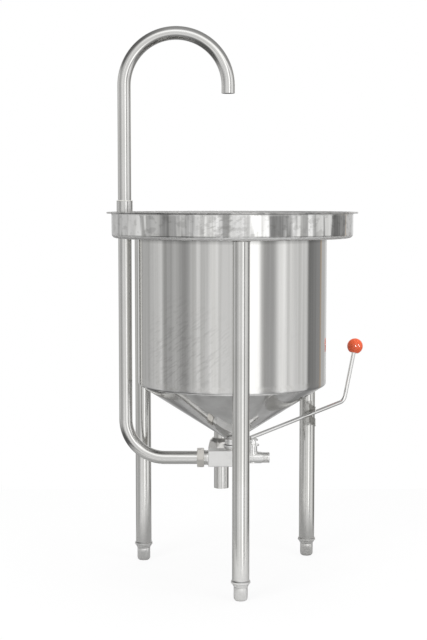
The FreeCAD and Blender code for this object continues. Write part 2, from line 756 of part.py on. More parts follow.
def make_drain_nut():
    """Long hexagonal union nut whose corners taper to a sloping shoulder."""
    low = drain_joint_z - drain_nut_below
    high = drain_joint_z + drain_nut_above
    flat_r = drain_nut_af / 2
    corner_r = drain_nut_af / math.sqrt(3) + 0.5
    blank = revolve([(0, low), (flat_r, low), (corner_r, low + nut_chamfer),
                     (corner_r, high - drain_nut_slope), (flat_r, high - drain_nut_shoulder),
                     (drain_nut_top_r, high), (0, high)])
    nut = hexagon(drain_nut_af, low, high, drain_nut_turn).common(blank)
    nut = nut.cut(cyl(drain_r + thread_gap, low - 1, high + 1))
    shoulder_z = drain_joint_z + drain_gasket_t + drain_collar_h
    nut = nut.cut(cyl(drain_collar_r + thread_gap, low - 1, shoulder_z))
    nut.translate(vec(*drain_xy, 0))
    return nut


def save(name, shape):
    if not shape.isValid():
        raise ValueError(name + " is not a valid solid")
    shape.exportStep(os.path.join("parts", name + ".step"))
    print(name, len(shape.Solids), round(shape.Volume, 1))


os.makedirs("parts", exist_ok=True)

save("barrel", make_barrel())
save("cone_bottom", make_cone())
save("outlet_neck", make_neck())
save("trough_pan", make_trough())
for side, degrees in leg_deg.items():
    save("leg_" + side, make_leg(degrees))
    save("leg_socket_" + side, make_socket(degrees))
    save("foot_" + side, make_foot(degrees))
save("spout_sleeve", make_sleeve())
save("upper_bush", make_upper_bush())
save("lower_bush", make_lower_bush())
save("spout_seal", make_seal())
save("riser_pipe", make_riser())
save("spout", make_spout())
save("union_nut", make_union_nut())
save("riser_ferrule", make_ferrule())
save("union_gasket", make_union_gasket())
save("union_nipple", make_nipple())
save("mixing_block", make_block())
save("jet_nozzle", make_jet())
save("neck_lock_nut", make_lock_nut())
save("neck_gasket", make_neck_gasket())
save("valve_body", make_valve_body())
save("cock_plug", make_cock_plug())
save("stem_packing", make_packing())
save("packing_nut", make_packing_nut())
save("inlet_nipple", make_inlet())
save("lever_hub", make_hub())
save("hub_weld", make_hub_weld())
save("lever_rod", make_rod())
save("lever_knob", make_knob())
save("lever_guide", make_guide())
save("guide_screws", make_guide_screws())
save("drain_pipe", make_drain_pipe())
save("drain_union_nut", make_drain_nut())
save("drain_gasket", make_drain_gasket())
save("drain_tail", make_drain_tail())
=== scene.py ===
import json
import math
import bpy
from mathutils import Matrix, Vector


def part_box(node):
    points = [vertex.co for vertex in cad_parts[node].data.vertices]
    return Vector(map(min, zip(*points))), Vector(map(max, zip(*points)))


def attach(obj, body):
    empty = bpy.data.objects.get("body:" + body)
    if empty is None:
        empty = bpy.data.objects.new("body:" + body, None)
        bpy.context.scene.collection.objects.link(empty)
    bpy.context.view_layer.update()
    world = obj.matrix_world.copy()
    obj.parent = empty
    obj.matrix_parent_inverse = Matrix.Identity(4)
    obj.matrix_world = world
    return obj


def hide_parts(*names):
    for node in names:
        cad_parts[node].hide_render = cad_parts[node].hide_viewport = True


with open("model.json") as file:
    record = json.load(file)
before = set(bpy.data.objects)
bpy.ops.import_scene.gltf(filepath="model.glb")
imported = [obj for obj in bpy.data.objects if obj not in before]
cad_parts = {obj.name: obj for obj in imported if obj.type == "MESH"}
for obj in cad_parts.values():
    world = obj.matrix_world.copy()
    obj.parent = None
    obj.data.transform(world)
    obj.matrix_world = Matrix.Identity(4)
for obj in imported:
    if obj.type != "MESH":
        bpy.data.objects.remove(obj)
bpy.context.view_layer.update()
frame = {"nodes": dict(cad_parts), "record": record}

print("frame loaded:", len(frame["nodes"]), "nodes")


# Node graphs

def addNode(tree, kind, inputs, **settings):
    made = tree.nodes.new("ShaderNode" + kind)
    for name, value in settings.items():
        setattr(made, name, value)
    for name, value in inputs.items():
        if isinstance(value, bpy.types.NodeSocket):
            tree.links.new(value, made.inputs[name])
        else:
            made.inputs[name].default_value = value
    return made


def addRamp(tree, factor, stops):
    ramp = addNode(tree, "ValToRGB", {"Fac": factor})
    marks = ramp.color_ramp.elements
    while len(marks) > 1:
        marks.remove(marks[-1])
    for i, (place, shade) in enumerate(stops):
        mark = marks[0] if i == 0 else marks.new(place)
        mark.position = place
        mark.color = (*shade, 1.0) if isinstance(shade, tuple) else (shade, shade, shade, 1.0)
    return ramp.outputs["Color"]


def addMaths(tree, operation, first, second=0.0):
    return addNode(tree, "Math", {0: first, 1: second}, operation=operation).outputs[0]


def addMix(tree, factor, first, second, blend="MIX"):
    mix = addNode(tree, "Mix", {0: factor, 6: first, 7: second}, data_type="RGBA", blend_type=blend)
    return mix.outputs[2]


def addTint(tree, first, second):
    return addMix(tree, 1.0, first, second, "MULTIPLY")


# lays a value's span onto another span and holds it at the ends
def addSpan(tree, value, span, result=(0.0, 1.0)):
    return addNode(tree, "MapRange", {"Value": value, "From Min": span[0], "From Max": span[1],
                                      "To Min": result[0], "To Max": result[1]}).outputs[0]


def partsOf(tree, vector):
    return addNode(tree, "SeparateXYZ", {0: vector}).outputs


def grey(level):
    return (level, level, level, 1.0)


# Studio: a pale floor, a soft light all round and broad soft panels that the metal mirrors

studio = {
    "cameraPlace": (-0.0448, -3.270, 0.905),
    "cameraTilt": 84.95,
    "lens": 51.16,
    "sensorHeight": 24.0,
    "farthest": 50.0,
    "floorSize": 1.9,
    "floorColour": 0.55,
    "floorGlow": 0.80,
    "floorGlowStrength": 1.1,
    # how light the metal shows the floor in front of the legs, the painted shade it shows under the tank,
    # and where it fades out
    "floorSeenNear": 0.80,
    "floorPaintedShadeUnder": 0.46,
    "floorFrontSpan": (-0.05, -0.40),
    "floorFadeSpan": (0.48, 0.66),
    "softLight": 0.62,
    "gain": 1.9,
    # zones by the direction's height, depth or side: lower down, higher up, to the left, and steep
    "lowSpan": (-0.15, -0.20),
    "facingSpan": (-0.5, 0.5),
    "lowBehind": 0.74,
    "lowInFront": 1.20,
    "highSpan": (0.01, 0.05),
    "highAll": 1.15,
    "leftSpan": (-0.55, -0.15),
    "highLeft": 0.42,
    "steepSpan": (0.25, 0.45),
    # broad soft panels all round: direction in degrees from the camera's side, and how bright it is there
    "leftStrips": [(-180, 0.8), (-150, 0.5), (-120, 0.5), (-95, 0.7), (-90, 0.4), (-80, 0.4), (-75, 0.5),
                   (-70, 0.5), (-65, 0.35), (-55, 0.35), (-50, 0.6), (-45, 0.6), (-42, 0.8), (-38, 0.6),
                   (-30, 0.6), (-25, 0.9), (-20, 0.9), (-15, 0.7), (0, 0.7)],
    "rightStrips": [(0, 0.7), (15, 0.8), (20, 1.4), (30, 1.4), (35, 0.6), (40, 0.4), (50, 0.4), (60, 1.0),
                    (65, 1.0), (70, 0.7), (75, 0.9), (80, 0.7), (100, 0.7), (105, 0.2), (130, 0.3),
                    (133, 0.3), (134, (0.5, 0.4, 0.3)), (136, (0.5, 0.4, 0.3)), (138, 0.5), (150, 0.55),
                    (160, 0.7), (180, 0.8)],
    # the same in the upright plane: 0 is level in front, 90 straight up, 180 level behind
    "below": [(-180, 0.3), (-145, 0.25), (-60, 0.25), (-40, 0.3), (-25, 0.8), (-15, 0.95), (0, 0.8)],
    "above": [(0, 0.8), (10, 0.7), (18, 0.85), (25, 1.3), (42, 1.3), (50, 0.8), (62, 0.4), (85, 0.35),
              (110, 0.3), (140, 0.3), (180, 0.3)],
}


def addStrips(tree, angle, lowHalf, highHalf):
    halves = []
    for name, start in ((lowHalf, -180), (highHalf, 0)):
        share = addSpan(tree, angle, (math.radians(start), math.radians(start + 180)))
        stops = []
        for turnTo, bright in studio[name]:
            shade = bright if isinstance(bright, tuple) else (bright, bright, bright)
            stops.append(((turnTo - start) / 180, tuple(part / studio["gain"] for part in shade)))
        halves.append(addRamp(tree, share, stops))
    return addMix(tree, addMaths(tree, "GREATER_THAN", angle, 0.0), halves[0], halves[1])


def startTree(owner):
    owner.use_nodes = True
    owner.node_tree.nodes.clear()
    return owner.node_tree


def makeWorld():
    world = bpy.data.worlds.new("studioLight")
    bpy.context.scene.world = world
    tree = startTree(world)
    parts = partsOf(tree, addNode(tree, "TexCoord", {}).outputs["Generated"])
    towards = addMaths(tree, "MULTIPLY", parts["Y"], -1.0)
    around = addMaths(tree, "ARCTAN2", parts["X"], towards)
    over = addMaths(tree, "ARCTAN2", parts["Z"], towards)
    level = addStrips(tree, around, "leftStrips", "rightStrips")
    upright = addStrips(tree, over, "below", "above")
    # lower down the front is lighter and the back darker, higher up all of it is a little lighter
    lower = addSpan(tree, parts["Z"], studio["lowSpan"])
    facing = addSpan(tree, towards, studio["facingSpan"], (studio["lowBehind"], studio["lowInFront"]))
    higher = addSpan(tree, parts["Z"], studio["highSpan"], (1.0, studio["highAll"]))
    level = addTint(tree, addTint(tree, level, addMix(tree, lower, grey(1.0), facing)), higher)
    leftward = addSpan(tree, parts["X"], studio["leftSpan"], (studio["highLeft"], 1.0))
    upright = addTint(tree, upright, leftward)
    steep = addSpan(tree, addMaths(tree, "ABSOLUTE", parts["Z"]), studio["steepSpan"])
    mirrored = addMix(tree, steep, level, upright)
    rays = addNode(tree, "LightPath", {}).outputs
    soft = addNode(tree, "Background", {"Color": grey(1.0), "Strength": studio["softLight"]})
    gloss = addNode(tree, "Background", {"Color": mirrored, "Strength": studio["gain"]})
    white = addNode(tree, "Background", {"Color": grey(1.0), "Strength": 1.0})
    seenInMetal = addMaths(tree, "MAXIMUM", rays["Is Glossy Ray"], rays["Is Transmission Ray"])
    lit = addNode(tree, "MixShader", {0: seenInMetal, 1: soft.outputs[0], 2: gloss.outputs[0]})
    shown = addNode(tree, "MixShader", {0: rays["Is Camera Ray"], 1: lit.outputs[0], 2: white.outputs[0]})
    addNode(tree, "OutputWorld", {"Surface": shown.outputs[0]}).is_active_output = True


def makeFloor():
    bpy.ops.mesh.primitive_plane_add(size=studio["floorSize"], location=(0, 0, 0))
    floor = bpy.context.active_object
    floor.name = "studioFloor"
    paint = bpy.data.materials.new("paleFloor")
    tree = startTree(paint)
    rays = addNode(tree, "LightPath", {}).outputs
    matt = addNode(tree, "BsdfDiffuse", {"Color": grey(studio["floorColour"])})
    glow = addNode(tree, "Emission", {"Color": grey(1.0), "Strength": studio["floorGlowStrength"]})
    share = addMaths(tree, "MULTIPLY", rays["Is Camera Ray"], studio["floorGlow"])
    plain = addNode(tree, "MixShader", {0: share, 1: matt.outputs[0], 2: glow.outputs[0]})
    place = addNode(tree, "TexCoord", {}).outputs["Object"]
    # painted shade: as seen in metal, the floor is darker under the tank than in front of it
    front = addSpan(tree, partsOf(tree, place)["Y"], studio["floorFrontSpan"])
    shade = addMix(tree, front, grey(studio["floorPaintedShadeUnder"]), grey(studio["floorSeenNear"]))
    mirrored = addNode(tree, "BsdfDiffuse", {"Color": shade})
    away = addNode(tree, "VectorMath", {0: place}, operation="LENGTH").outputs["Value"]
    faded = addSpan(tree, away, studio["floorFadeSpan"])
    clear = addNode(tree, "BsdfTransparent", {})
    inMetal = addNode(tree, "MixShader", {0: faded, 1: mirrored.outputs[0], 2: clear.outputs[0]})
    mixed = addNode(tree, "MixShader", {0: rays["Is Glossy Ray"], 1: plain.outputs[0],
                                        2: inMetal.outputs[0]})
    addNode(tree, "OutputMaterial", {"Surface": mixed.outputs[0]})
    floor.data.materials.append(paint)


lamps = {
    "keyLamp": {"place": (-1.5, -2.2, 2.3), "size": 1.2, "power": 38.0},
    "fillLamp": {"place": (1.9, -1.7, 1.6), "size": 1.4, "power": 22.0},
    "topLamp": {"place": (0.2, 0.3, 3.0), "size": 1.8, "power": 30.0},
}
lampsAim = Vector((0, 0, 0.6))


def makeLamp(name, size, power, place, aim):
    light = bpy.data.lights.new(name, "AREA")
    light.size = size
    light.energy = power
    lamp = bpy.data.objects.new(name, light)
    bpy.context.scene.collection.objects.link(lamp)
    lamp.location = place
    lamp.rotation_euler = (aim - Vector(place)).to_track_quat("-Z", "Y").to_euler()
    return lamp


def makeLamps():
    for name, row in lamps.items():
        lamp = makeLamp(name, row["size"], row["power"], row["place"], lampsAim)
        lamp.visible_glossy = False


def makeCamera():
    lens = bpy.data.cameras.new("studioCamera")
    lens.sensor_fit = "VERTICAL"
    lens.sensor_height = studio["sensorHeight"]
    lens.lens = studio["lens"]
    lens.clip_end = studio["farthest"]
    camera = bpy.data.objects.new("studioCamera", lens)
    bpy.context.scene.collection.objects.link(camera)
    camera.location = studio["cameraPlace"]
    camera.rotation_euler = (math.radians(studio["cameraTilt"]), 0, 0)
    bpy.context.scene.camera = camera
    bpy.context.scene.view_settings.view_transform = "Standard"


makeWorld()
makeFloor()
makeLamps()
makeCamera()
print("studio ready")


# Finishes

def startMaterial(name):
    made = bpy.data.materials.new(name)
    made.use_nodes = True
    tree = made.node_tree
    return made, tree, tree.nodes["Principled BSDF"]


def grainOf(tree, stretch, scale, detail=3.0):
    place = addNode(tree, "TexCoord", {}).outputs["Object"]
    mapped = addNode(tree, "Mapping", {"Vector": place, "Scale": stretch})
    noise = addNode(tree, "TexNoise", {"Vector": mapped.outputs[0], "Scale": scale, "Detail": detail})
    return noise.outputs["Fac"]


steelFinishes = {
    "tube_steel": {"colour": (0.77, 0.765, 0.75), "rough": 0.12, "spread": 0.07, "lines": (160, 160, 3.0),
                   "lineBump": 0.02, "wave": 0.10, "waveScale": (9.0, 9.0, 4.0), "cloud": 0.10},
    "bent_tube": {"colour": (0.78, 0.775, 0.76), "rough": 0.13, "spread": 0.05, "lines": (5, 5, 5),
                  "lineBump": 0.0, "wave": 0.05, "waveScale": (9.0, 9.0, 9.0), "cloud": 0.08},
    "bright_cast": {"colour": (0.93, 0.928, 0.92), "rough": 0.20, "spread": 0.10, "lines": (120, 120, 120),
                    "lineBump": 0.12, "wave": 0.10, "waveScale": (60, 60, 60), "cloud": 0.12},
    "bright_nut": {"colour": (0.78, 0.77, 0.75), "rough": 0.26, "spread": 0.10, "lines": (60, 60, 60),
                   "lineBump": 0.05, "wave": 0.12, "waveScale": (40, 40, 40), "cloud": 0.16},
    "foot_steel": {"colour": (0.88, 0.875, 0.86), "rough": 0.24, "spread": 0.10, "lines": (20, 20, 420),
                   "lineBump": 0.10, "wave": 0.05, "waveScale": (9.0, 9.0, 9.0), "cloud": 0.10},
    "cast_steel": {"colour": (0.95, 0.948, 0.94), "rough": 0.36, "spread": 0.14, "lines": (260, 260, 260),
                   "lineBump": 0.30, "wave": 0.16, "waveScale": (60, 60, 60), "cloud": 0.12},
    "nut_steel": {"colour": (0.86, 0.835, 0.79), "rough": 0.32, "spread": 0.12, "lines": (180, 180, 180),
                  "lineBump": 0.25, "wave": 0.10, "waveScale": (40, 40, 40), "cloud": 0.16},
    "rod_steel": {"colour": (0.97, 0.968, 0.96), "rough": 0.14, "spread": 0.03, "lines": (4, 4, 4),
                  "lineBump": 0.0, "wave": 0.0, "waveScale": (12, 12, 12), "cloud": 0.10},
    "guide_steel": {"colour": (0.56, 0.555, 0.54), "rough": 0.20, "spread": 0.10, "lines": (20, 20, 320),
                    "lineBump": 0.06, "wave": 0.05, "waveScale": (12, 12, 12), "cloud": 0.12},
    "brass": {"colour": (0.72, 0.52, 0.22), "rough": 0.28, "spread": 0.10, "lines": (300, 20, 20),
              "lineBump": 0.12, "wave": 0.02, "waveScale": (12, 12, 12), "cloud": 0.14},
    "weld_bead": {"colour": (0.62, 0.61, 0.59), "rough": 0.22, "spread": 0.16, "lines": (300, 300, 300),
                  "lineBump": 0.3, "wave": 0.3, "waveScale": (180, 180, 180), "cloud": 0.22},
}


# noise levels between which steel goes from dull to clean and from smooth to smeared
steelLook = {"lineSize": 6.0, "cloudSize": 7.0, "cleanFrom": 0.30, "cleanTo": 0.62, "dullBlue": 0.985,
             "smearSpan": (0.12, 0.42), "lineHeight": 0.0004, "waveHeight": 0.004}


def makeSteel(name, finish):
    made, tree, shader = startMaterial(name)
    lines = grainOf(tree, finish["lines"], steelLook["lineSize"])
    clouds = grainOf(tree, (1, 1, 1), steelLook["cloudSize"], 5.0)
    wobble = grainOf(tree, finish["waveScale"], 1.0, 2.0)
    red, green, blue = finish["colour"]
    dull = 1.0 - finish["cloud"]
    dulled = (red * dull, green * dull, blue * dull * steelLook["dullBlue"])
    colour = addRamp(tree, clouds, [(steelLook["cleanFrom"], dulled),
                                    (steelLook["cleanTo"], finish["colour"])])
    smear = addMaths(tree, "MULTIPLY", lines, clouds)
    rough = addSpan(tree, smear, steelLook["smearSpan"],
                    (finish["rough"], finish["rough"] + finish["spread"]))
    fine = addNode(tree, "Bump", {"Height": lines, "Strength": finish["lineBump"],
                                  "Distance": steelLook["lineHeight"]})
    broad = addNode(tree, "Bump", {"Height": wobble, "Strength": finish["wave"],
                                   "Distance": steelLook["waveHeight"], "Normal": fine.outputs[0]})
    tree.links.new(colour, shader.inputs["Base Color"])
    tree.links.new(rough, shader.inputs["Roughness"])
    tree.links.new(broad.outputs[0], shader.inputs["Normal"])
    shader.inputs["Metallic"].default_value = 1.0
    return made


# rolled sheet: streaks up and down, scuffs on the slant, and hazy bands at given heights. It may also have
# uneven patches, a painted shade that darkens the sheet just under the trough, and a satin inside within a
# radius and above a height, whose colour is also painted lighter to offset the shade inside
troughFloor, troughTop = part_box("trough_pan")[0].z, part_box("trough_pan")[1].z
sheetFinishes = {
    "barrelSheet": {"colour": (0.80, 0.795, 0.78), "rough": 0.06, "haze": 0.16, "blot": 0.0,
                    "streaks": (90, 90, 0.8), "streakDepth": 0.15,
                    "wave": 0.10, "waveScale": (7.0, 7.0, 1.2),
                    "scuff": 0.20, "scuffTurn": (0.0, 0.65, 0.0), "scuffScale": (44, 44, 250),
                    "rubbedSpot": (-0.115, -0.19, 0.56), "rubbedReach": 0.15,
                    "bands": [(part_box("barrel")[0].z - 0.002, 0.017)], "bandHaze": 0.45, "bandRough": 0.07,
                    # painted shade: the barrel's colour darkens in the span just under the trough's floor
                    "paintedShade": (troughFloor - 0.011, troughFloor), "inside": (0.2253, 0.0)},
    "troughSheet": {"colour": (0.98, 0.977, 0.965), "rough": 0.05, "haze": 0.16, "blot": 0.28,
                    "streaks": (70, 70, 4.0), "streakDepth": 0.12,
                    "wave": 1.0, "waveScale": (21.0, 21.0, 5.0),
                    "scuff": 0.45, "scuffTurn": (0.0, 0.3, 0.0), "scuffScale": (60, 60, 130),
                    "rubbedSpot": (-0.03, -0.29, 0.845), "rubbedReach": 0.07,
                    "bands": [(troughFloor + 0.004, 0.006), (troughTop - 0.002, 0.006)],
                    "bandHaze": 0.1, "bandRough": 0.22,
                    "patches": (38, 38, 0.8), "patchDepth": 0.45, "inside": (0.2872, troughFloor + 0.001)},
    "coneSheet": {"colour": (0.76, 0.757, 0.75), "rough": 0.06, "haze": 0.10, "blot": 0.10,
                  "streaks": (16, 16, 16), "streakDepth": 0.16,
                  "wave": 0.30, "waveScale": (5.0, 5.0, 9.0),
                  "scuff": 0.10, "scuffTurn": (0.4, 0.2, 0.0), "scuffScale": (30, 30, 30),
                  "rubbedSpot": (0.0, -0.2, 0.35), "rubbedReach": 0.12,
                  "bands": [(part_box("cone_bottom")[0].z, 0.014)], "bandHaze": 0.5, "bandRough": 0.05},
}
# noise sizes, and the noise levels between which each mark sets in
sheetLook = {"cloudStretch": (1, 1, 0.6), "cloudSize": 6.0, "spotSize": 70.0, "strokeSpan": (0.50, 0.64),
             "cloudySpan": (0.50, 0.66), "cloudyMost": 0.30, "rubbedCore": 0.4, "bandCore": 0.7,
             "streakFrom": 0.36, "streakTo": 0.60, "streakBlue": 0.99,
             "blotScale": (50, 50, 70), "blotSpan": (0.52, 0.60), "patchFrom": 0.38, "patchTo": 0.50,
             "paintedShadeTo": 0.55, "worn": (0.30, 0.295, 0.285, 1.0), "stain": (0.80, 0.79, 0.76),
             "stainFrom": 0.34, "stainTo": 0.52, "hazeSpan": (0.38, 0.72), "hazeShare": 0.5,
             # the inside's colours: a satin finish, painted lighter than the outside to offset the shade
             # inside the barrel and trough
             "satinDark": (0.88, 0.877, 0.87), "satinLight": (0.95, 0.947, 0.935),
             "satinFrom": 0.30, "satinTo": 0.70, "satinRough": 0.36,
             "waveHeight": 0.004, "pitStrength": 0.10, "pitDepth": 0.0006}


def addScuffs(tree, place, clouds, finish):
    turned = addNode(tree, "Mapping", {"Vector": place, "Rotation": finish["scuffTurn"]})
    drawn = addNode(tree, "Mapping", {"Vector": turned.outputs[0], "Scale": finish["scuffScale"]})
    strokes = addNode(tree, "TexNoise", {"Vector": drawn.outputs[0], "Scale": 1.0, "Detail": 3.0})
    stroke = addSpan(tree, strokes.outputs["Fac"], sheetLook["strokeSpan"])
    cloudy = addSpan(tree, clouds, sheetLook["cloudySpan"], (0.0, sheetLook["cloudyMost"]))
    gap = addNode(tree, "VectorMath", {0: place, 1: finish["rubbedSpot"]}, operation="DISTANCE")
    reach = finish["rubbedReach"]
    rubbed = addSpan(tree, gap.outputs["Value"], (reach, reach * sheetLook["rubbedCore"]))
    patch = addMaths(tree, "MAXIMUM", cloudy, rubbed)
    return addMaths(tree, "MULTIPLY", addMaths(tree, "MULTIPLY", stroke, patch), finish["scuff"])


def addBands(tree, height, bands):
    band = 0.0
    for middle, reach in bands:
        away = addMaths(tree, "ABSOLUTE", addMaths(tree, "SUBTRACT", height, middle))
        band = addMaths(tree, "MAXIMUM", band, addSpan(tree, away, (reach, reach * sheetLook["bandCore"])))
    return band


def makeSheet(name, finish):
    look = sheetLook
    made, tree, shader = startMaterial(name)
    place = addNode(tree, "TexCoord", {}).outputs["Object"]
    height = partsOf(tree, place)["Z"]
    streaks = grainOf(tree, finish["streaks"], 1.0, 4.0)
    clouds = grainOf(tree, look["cloudStretch"], look["cloudSize"], 6.0)
    spots = grainOf(tree, (1, 1, 1), look["spotSize"], 4.0)
    band = addBands(tree, height, finish["bands"])
    red, green, blue = finish["colour"]
    deep = 1.0 - finish["streakDepth"]
    streaked = (red * deep, green * deep, blue * deep * look["streakBlue"])
    shade = addRamp(tree, streaks, [(look["streakFrom"], streaked), (look["streakTo"], finish["colour"])])
    blotches = grainOf(tree, look["blotScale"], 1.0, 6.0)
    blots = addSpan(tree, blotches, look["blotSpan"], (0.0, finish["blot"]))
    marks = addMaths(tree, "MAXIMUM", addScuffs(tree, place, clouds, finish), blots)
    if "patches" in finish:
        uneven = grainOf(tree, finish["patches"], 1.0, 3.0)
        shade = addTint(tree, shade, addRamp(tree, uneven, [(look["patchFrom"], 1.0 - finish["patchDepth"]),
                                                            (look["patchTo"], 1.0)]))
    # painted shade: the colour darkens by height within the given span, where the trough shades the barrel
    if "paintedShade" in finish:
        shade = addTint(tree, shade, addSpan(tree, height, finish["paintedShade"], (1.0, look["paintedShadeTo"])))
    worn = addMix(tree, marks, shade, look["worn"])
    stainRed, stainGreen, stainBlue = look["stain"]
    stain = (red * stainRed, green * stainGreen, blue * stainBlue)
    stained = addRamp(tree, spots, [(look["stainFrom"], stain), (look["stainTo"], finish["colour"])])
    colour = addMix(tree, addMaths(tree, "MULTIPLY", band, finish["bandHaze"]), worn, stained)
    hazy = addSpan(tree, clouds, look["hazeSpan"],
                   (finish["rough"], finish["rough"] + finish["haze"] * look["hazeShare"]))
    rough = addMaths(tree, "ADD", hazy, addMaths(tree, "MULTIPLY", band, finish["bandRough"]))
    # inside: a real satin finish, rougher, whose colour is also painted lighter to offset the shade inside
    if "inside" in finish:
        innerRadius, innerFrom = finish["inside"]
        flat = addNode(tree, "VectorMath", {0: place, 1: (1.0, 1.0, 0.0)}, operation="MULTIPLY")
        radius = addNode(tree, "VectorMath", {0: flat.outputs["Vector"]}, operation="LENGTH")
        within = addMaths(tree, "LESS_THAN", radius.outputs["Value"], innerRadius)
        inside = addMaths(tree, "MULTIPLY", within, addMaths(tree, "GREATER_THAN", height, innerFrom))
        satinAndPaintedLight = addRamp(tree, streaks, [(look["satinFrom"], look["satinDark"]),
                                        (look["satinTo"], look["satinLight"])])
        colour = addMix(tree, inside, colour, satinAndPaintedLight)
        rough = addMaths(tree, "ADD", rough, addMaths(tree, "MULTIPLY", inside, look["satinRough"]))
    wobble = grainOf(tree, finish["waveScale"], 1.0, 2.0)
    broad = addNode(tree, "Bump", {"Height": wobble, "Strength": finish["wave"],
                                   "Distance": look["waveHeight"]})
    pitted = addMaths(tree, "MULTIPLY", spots, band)
    fine = addNode(tree, "Bump", {"Height": pitted, "Strength": look["pitStrength"],
                                  "Distance": look["pitDepth"], "Normal": broad.outputs[0]})
    tree.links.new(colour, shader.inputs["Base Color"])
    tree.links.new(rough, shader.inputs["Roughness"])
    tree.links.new(fine.outputs[0], shader.inputs["Normal"])
    shader.inputs["Metallic"].default_value = 1.0
    return made


def makeKnobPlastic():
    made, tree, shader = startMaterial("red_knob")
    marble = grainOf(tree, (1, 1, 1), 30.0, 2.0)
    colour = addRamp(tree, marble, [(0.30, (0.93, 0.140, 0.050)), (0.70, (0.97, 0.160, 0.062))])
    rough = addSpan(tree, marble, (0.0, 1.0), (0.14, 0.20))
    tree.links.new(colour, shader.inputs["Base Color"])
    tree.links.new(rough, shader.inputs["Roughness"])
    return made


def makeRubber():
    made, tree, shader = startMaterial("black_rubber")
    bloom = grainOf(tree, (1, 1, 1), 180.0, 4.0)
    colour = addRamp(tree, bloom, [(0.3, (0.018, 0.018, 0.019)), (0.7, (0.045, 0.044, 0.043))])
    rough = addSpan(tree, bloom, (0.0, 1.0), (0.55, 0.8))
    tree.links.new(colour, shader.inputs["Base Color"])
    tree.links.new(rough, shader.inputs["Roughness"])
    return made


def makeWhitePlastic():
    made, tree, shader = startMaterial("white_plastic")
    turned = grainOf(tree, (12, 12, 900), 3.0)
    colour = addRamp(tree, turned, [(0.3, (0.76, 0.75, 0.71)), (0.7, (0.84, 0.83, 0.79))])
    rough = addSpan(tree, turned, (0.0, 1.0), (0.35, 0.5))
    groove = addNode(tree, "Bump", {"Height": turned, "Strength": 0.1, "Distance": 0.0003})
    tree.links.new(colour, shader.inputs["Base Color"])
    tree.links.new(rough, shader.inputs["Roughness"])
    tree.links.new(groove.outputs[0], shader.inputs["Normal"])
    return made


finishes = {name: makeSteel(name, finish) for name, finish in steelFinishes.items()}
finishes["red_knob"] = makeKnobPlastic()
finishes["black_rubber"] = makeRubber()
finishes["white_plastic"] = makeWhitePlastic()
sheets = {name: makeSheet(name, finish) for name, finish in sheetFinishes.items()}
finishes["polished_steel"] = sheets["barrelSheet"]
finishes["cone_steel"] = sheets["coneSheet"]
slotOf = {row["node"]: row["material_slot"] for row in frame["record"]["subparts"]}
for nodeName, solid in frame["nodes"].items():
    solid.data.materials.clear()
    solid.data.materials.append(finishes[slotOf[nodeName]])
frame["nodes"]["trough_pan"].data.materials[0] = sheets["troughSheet"]
for nodeName in ("spout", "riser_pipe"):
    frame["nodes"][nodeName].data.materials[0] = finishes["bent_tube"]
print("finishes ready:", len(finishes))


# Modelling helpers

def startFresh():
    if bpy.context.mode != "OBJECT":
        bpy.ops.object.mode_set(mode="OBJECT")
    bpy.ops.object.select_all(action="DESELECT")


def takePiece(piece):
    startFresh()
    piece.select_set(True)
    bpy.context.view_layer.objects.active = piece


def openMesh():
    bpy.ops.object.mode_set(mode="EDIT")
    bpy.ops.mesh.select_mode(type="VERT")
    bpy.ops.mesh.select_all(action="SELECT")


def pickVertices(piece, chosen):
    bpy.ops.mesh.select_mode(type="VERT")
    bpy.ops.mesh.select_all(action="DESELECT")
    bpy.ops.object.mode_set(mode="OBJECT")
    for vertex in piece.data.vertices:
        vertex.select = chosen(vertex.co)
    bpy.ops.object.mode_set(mode="EDIT")


def closeMesh(merge=0.000002):
    bpy.ops.mesh.select_all(action="SELECT")
    bpy.ops.mesh.remove_doubles(threshold=merge)
    bpy.ops.mesh.normals_make_consistent(inside=False)
    bpy.ops.object.mode_set(mode="OBJECT")


def settle(piece, angle):
    takePiece(piece)
    bpy.ops.object.transform_apply(location=True, rotation=True, scale=True)
    bpy.ops.object.shade_smooth_by_angle(angle=math.radians(angle))
    piece.select_set(False)


def dress(piece, body, slotName, replaced=(), finish=None):
    piece.data.materials.clear()
    piece.data.materials.append(finish or finishes[slotName])
    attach(piece, body)
    if replaced:
        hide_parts(*replaced)


def applyModifier(piece, kind, **settings):
    takePiece(piece)
    added = piece.modifiers.new(kind.lower(), kind)
    for name, value in settings.items():
        setattr(added, name, value)
    bpy.ops.object.modifier_apply(modifier=added.name)


def joinPieces(pieces):
    takePiece(pieces[0])
    for piece in pieces[1:]:
        piece.select_set(True)
    bpy.ops.object.join()


# a merged copy of a CAD solid, open for editing
def copySolid(nodeName, name):
    piece = bpy.data.objects.new(name, frame["nodes"][nodeName].data.copy())
    bpy.context.scene.collection.objects.link(piece)
    takePiece(piece)
    openMesh()
    bpy.ops.mesh.customdata_custom_splitnormals_clear()
    bpy.ops.mesh.remove_doubles(threshold=0.00001)
    return piece


# rings are (radius, height) from the start circle on: "join" leads the last one back to the first, and any
# other ending starts from a filled circle
def turnPiece(name, rings, sides, ending="join"):
    startFresh()
    radius, height = rings[0]
    bpy.ops.mesh.primitive_circle_add(vertices=sides, radius=radius, location=(0, 0, height))
    piece = bpy.context.active_object
    piece.name = name
    openMesh()
    if ending != "join":
        bpy.ops.mesh.edge_face_add()
        bpy.ops.mesh.select_all(action="SELECT")
    path = rings[1:] + (rings[:1] if ending == "join" else [])
    for nextRadius, nextHeight in path:
        bpy.ops.mesh.extrude_region_move(TRANSFORM_OT_translate={"value": (0, 0, nextHeight - height)})
        grow = nextRadius / radius
        bpy.ops.transform.resize(value=(grow, grow, 1), center_override=(0, 0, nextHeight))
        radius, height = nextRadius, nextHeight
    closeMesh()
    bpy.ops.object.transform_apply(location=True, rotation=False, scale=False)
    return piece


# radius that ends a run of rings in a point
tip = 0.0000001

